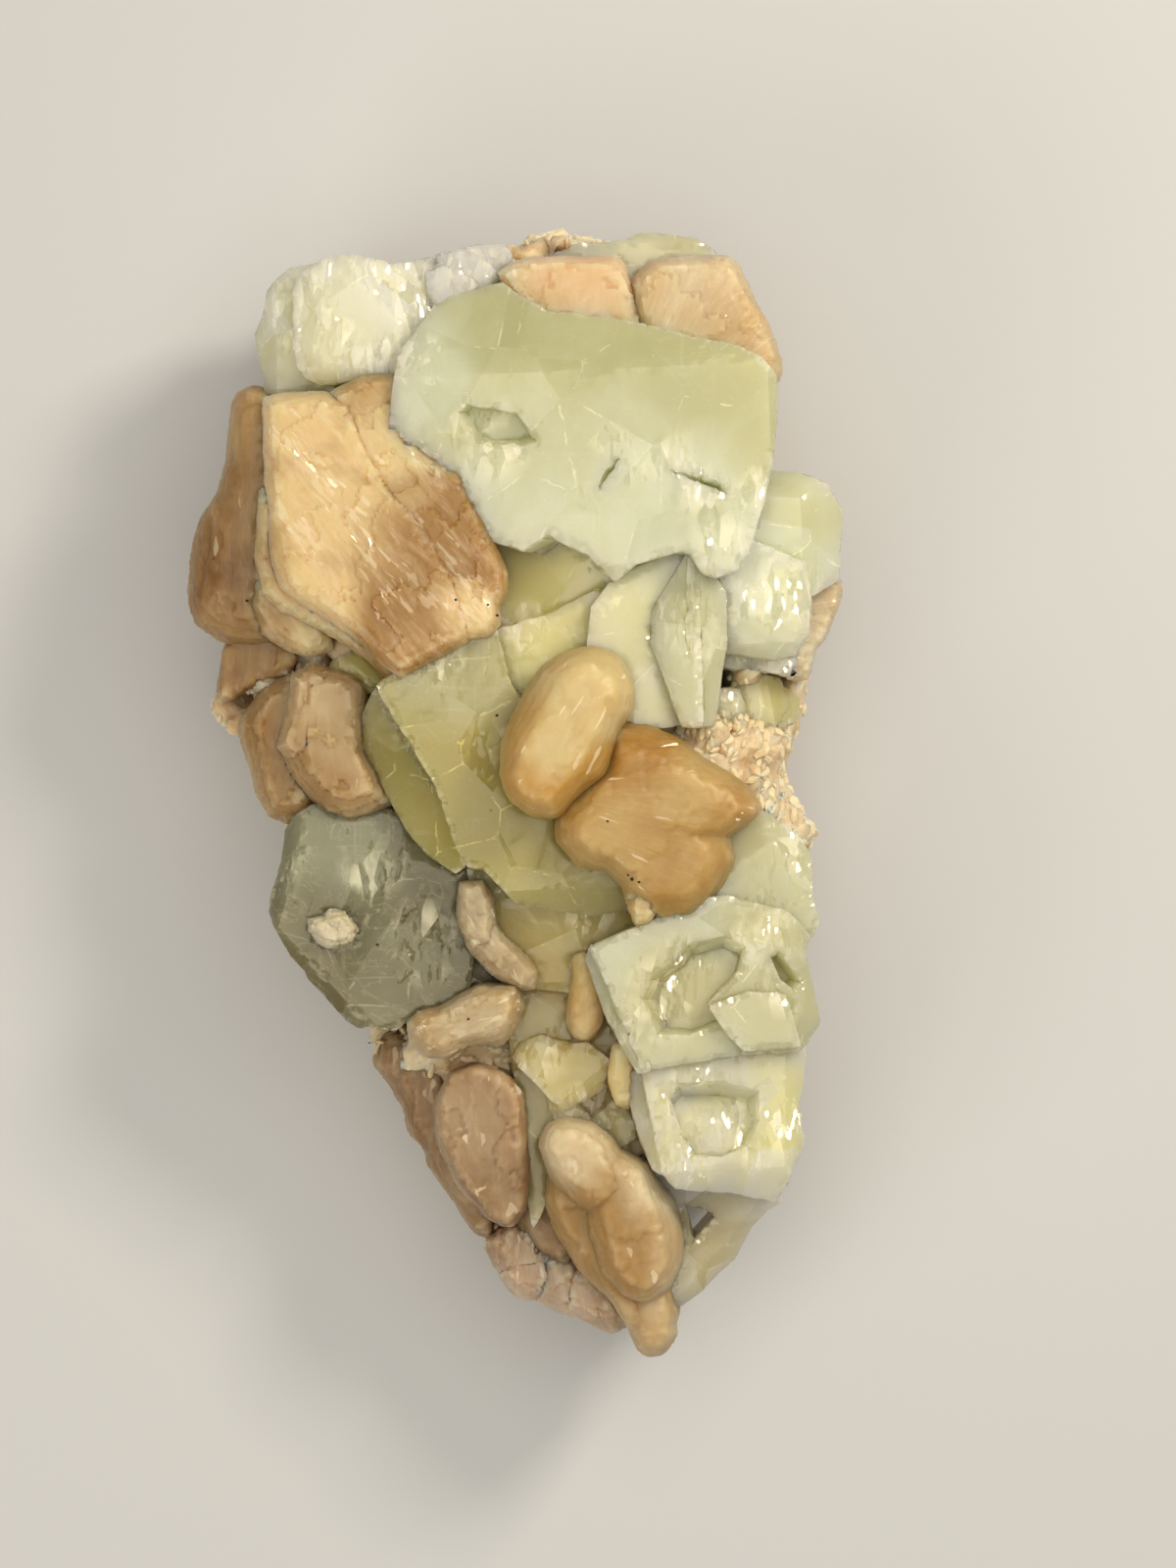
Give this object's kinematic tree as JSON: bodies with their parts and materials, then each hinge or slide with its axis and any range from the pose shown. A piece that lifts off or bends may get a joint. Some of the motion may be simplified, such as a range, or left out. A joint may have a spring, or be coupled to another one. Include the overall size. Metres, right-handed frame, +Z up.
{
  "type": "apophyllite cluster",
  "caption": "Mineral specimen: blocky pale green apophyllite crystals and rounded peach stilbite sheaves on a drusy matrix, lying on its flat back.",
  "frame": {"origin": "middle of the bounding box, on the surface the specimen lies on", "axes": "+Z up from the matrix's flat back to the crystals, +Y along the length towards the wide end, +X to the right"},
  "size_m": [0.0668, 0.1164, 0.0459],
  "materials": {
    "apophyllite": "pale yellow-green, clear to milky, glassy to pearly",
    "stilbite": "peach, waxy and slightly translucent, with fine glints",
    "pale_stilbite": "pinkish white, matted fine blades",
    "calcite": "white, sugary",
    "druse": "pinkish white, granular, with fine glints"
  },
  "bodies": {
    "root": {"apophyllite_upper_block": "apophyllite", "apophyllite_centre_block": "apophyllite", "apophyllite_lower_right_block": "apophyllite", "apophyllite_bottom_block": "apophyllite", "apophyllite_spindle": "apophyllite", "apophyllite_middle_plate": "apophyllite", "apophyllite_right_block": "apophyllite", "apophyllite_middle_wedge": "apophyllite", "apophyllite_lower_left_block": "apophyllite", "apophyllite_lower_middle": "apophyllite", "apophyllite_upper_left": "apophyllite", "milky_crystal_top": "apophyllite", "apophyllite_top_plate": "apophyllite", "apophyllite_small_left": "apophyllite", "apophyllite_small_right": "apophyllite", "apophyllite_bottom_rim": "apophyllite", "stilbite_left_sheaf": "stilbite", "stilbite_left_plate": "stilbite", "stilbite_left_bundle": "stilbite", "stilbite_top_left": "stilbite", "stilbite_top_right": "stilbite", "stilbite_right_wedge": "stilbite", "stilbite_centre_lobe": "stilbite", "stilbite_centre_bowtie": "stilbite", "stilbite_small_cone": "stilbite", "stilbite_bent_blade": "stilbite", "stilbite_drop_blade": "stilbite", "stilbite_rod": "stilbite", "stilbite_thin_blade": "stilbite", "stilbite_lower_sheaf": "stilbite", "stilbite_lower_lump": "pale_stilbite", "stilbite_bottom_fans": "pale_stilbite", "white_rosette": "calcite", "druse_matrix": "druse"}
  },
  "joints": []
}
